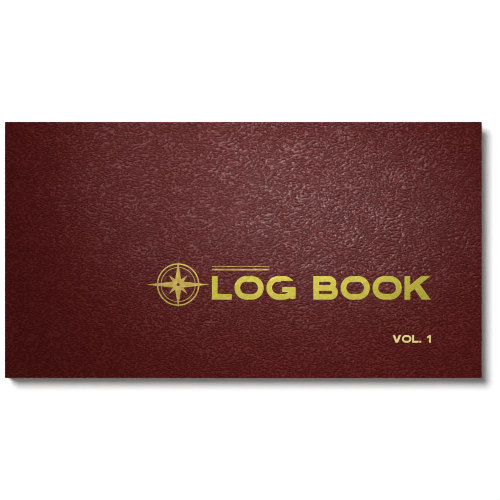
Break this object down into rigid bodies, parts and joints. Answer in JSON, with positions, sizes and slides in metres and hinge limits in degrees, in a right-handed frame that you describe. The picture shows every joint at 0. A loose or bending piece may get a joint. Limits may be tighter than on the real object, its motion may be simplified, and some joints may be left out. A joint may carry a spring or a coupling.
{
  "type": "logbook",
  "caption": "Landscape casebound logbook in grained maroon cloth with gold foil; the covers hinge at the spine and its sewn ledger pages turn as it opens.",
  "frame": {"origin": "middle of the closed book on the outer face of its back cover", "axes": "+X from the spine to the fore edge, +Y from tail to head, +Z out of the front cover"},
  "size_m": [0.254, 0.1366, 0.0121],
  "materials": {
    "cover_cloth": "grained",
    "board": "matte",
    "endpaper": "matte",
    "kraft_paper": "matte",
    "mull_gauze": "open weave",
    "band_thread": "striped",
    "sewing_thread": "matte",
    "ledger_paper": "matte",
    "gold_foil": "satin"
  },
  "bodies": {
    "back_cover_and_pages": {"back_cloth": "cover_cloth", "back_board": "board", "back_pastedown": "endpaper", "back_flyleaf": "endpaper", "back_mull": "mull_gauze", "back_kraft": "kraft_paper", "back_headband": "band_thread", "back_tailband": "band_thread", "section_6": "ledger_paper", "thread_6": "sewing_thread"},
    "spine_panel": {"spine_cloth": "cover_cloth", "spine_inlay": "board", "spine_paper": "kraft_paper"},
    "front_cover": {"front_cloth": "cover_cloth", "front_board": "board", "front_pastedown": "endpaper", "foil_title": "gold_foil", "foil_rule": "gold_foil", "foil_emblem": "gold_foil", "foil_volume": "gold_foil"},
    "front_pages": {"front_flyleaf": "endpaper", "section_1": "ledger_paper", "thread_1": "sewing_thread", "front_mull": "mull_gauze", "front_kraft": "kraft_paper", "front_headband": "band_thread", "front_tailband": "band_thread"},
    "turning_section_2": {"section_2": "ledger_paper", "thread_2": "sewing_thread"},
    "turning_section_3": {"section_3": "ledger_paper", "thread_3": "sewing_thread"},
    "turning_leaf_1": {"leaf_1": "ledger_paper"},
    "turning_leaf_2": {"leaf_2": "ledger_paper"},
    "turning_leaf_3": {"leaf_3": "ledger_paper"},
    "turning_leaf_4": {"leaf_4": "ledger_paper"},
    "turning_leaf_5": {"leaf_5": "ledger_paper"},
    "turning_leaf_6": {"leaf_6": "ledger_paper"},
    "turning_section_4": {"section_4": "ledger_paper", "thread_4": "sewing_thread"},
    "turning_section_5": {"section_5": "ledger_paper", "thread_5": "sewing_thread"}
  },
  "joints": [
    {"name": "cover_open", "type": "hinge", "parent": "spine_panel", "child": "front_cover", "pos_m": [-0.127, 0, 0.012], "axis": [0, -1, 0], "range_deg": [0, 90]},
    {"name": "spine_turn", "type": "hinge", "parent": "back_cover_and_pages", "child": "spine_panel", "pos_m": [-0.127, 0, 0], "axis": [0, -1, 0], "range_deg": [0, 90]},
    {"name": "turn_front_pages", "type": "hinge", "parent": "back_cover_and_pages", "child": "front_pages", "pos_m": [-0.12445, 0, 0.006], "axis": [0, -1, 0], "range_deg": [0, 180]},
    {"name": "turn_section_2", "type": "hinge", "parent": "front_pages", "child": "turning_section_2", "pos_m": [-0.12445, 0, 0.006], "axis": [0, -1, 0], "range_deg": [-0.9, 0]},
    {"name": "turn_section_3", "type": "hinge", "parent": "front_pages", "child": "turning_section_3", "pos_m": [-0.12445, 0, 0.006], "axis": [0, -1, 0], "range_deg": [-1.8, 0]},
    {"name": "turn_leaf_1", "type": "hinge", "parent": "front_pages", "child": "turning_leaf_1", "pos_m": [-0.12445, 0, 0.006], "axis": [0, -1, 0], "range_deg": [-3.6, 0]},
    {"name": "turn_leaf_2", "type": "hinge", "parent": "front_pages", "child": "turning_leaf_2", "pos_m": [-0.12445, 0, 0.006], "axis": [0, -1, 0], "range_deg": [-5.4, 0]},
    {"name": "turn_leaf_3", "type": "hinge", "parent": "front_pages", "child": "turning_leaf_3", "pos_m": [-0.12445, 0, 0.006], "axis": [0, -1, 0], "range_deg": [-7.2, 0]},
    {"name": "turn_leaf_4", "type": "hinge", "parent": "back_cover_and_pages", "child": "turning_leaf_4", "pos_m": [-0.12445, 0, 0.006], "axis": [0, -1, 0], "range_deg": [0, 7.2]},
    {"name": "turn_leaf_5", "type": "hinge", "parent": "back_cover_and_pages", "child": "turning_leaf_5", "pos_m": [-0.12445, 0, 0.006], "axis": [0, -1, 0], "range_deg": [0, 5.4]},
    {"name": "turn_leaf_6", "type": "hinge", "parent": "back_cover_and_pages", "child": "turning_leaf_6", "pos_m": [-0.12445, 0, 0.006], "axis": [0, -1, 0], "range_deg": [0, 3.6]},
    {"name": "turn_section_4", "type": "hinge", "parent": "back_cover_and_pages", "child": "turning_section_4", "pos_m": [-0.12445, 0, 0.006], "axis": [0, -1, 0], "range_deg": [0, 1.8]},
    {"name": "turn_section_5", "type": "hinge", "parent": "back_cover_and_pages", "child": "turning_section_5", "pos_m": [-0.12445, 0, 0.006], "axis": [0, -1, 0], "range_deg": [0, 0.9]}
  ],
  "couplings": [
    {"joint": "spine_turn", "follows": "cover_open", "ratio": 1},
    {"joint": "turn_front_pages", "follows": "cover_open", "ratio": 2},
    {"joint": "turn_section_2", "follows": "cover_open", "ratio": -0.01},
    {"joint": "turn_section_3", "follows": "cover_open", "ratio": -0.02},
    {"joint": "turn_leaf_1", "follows": "cover_open", "ratio": -0.04},
    {"joint": "turn_leaf_2", "follows": "cover_open", "ratio": -0.06},
    {"joint": "turn_leaf_3", "follows": "cover_open", "ratio": -0.08},
    {"joint": "turn_leaf_4", "follows": "cover_open", "ratio": 0.08},
    {"joint": "turn_leaf_5", "follows": "cover_open", "ratio": 0.06},
    {"joint": "turn_leaf_6", "follows": "cover_open", "ratio": 0.04},
    {"joint": "turn_section_4", "follows": "cover_open", "ratio": 0.02},
    {"joint": "turn_section_5", "follows": "cover_open", "ratio": 0.01}
  ]
}
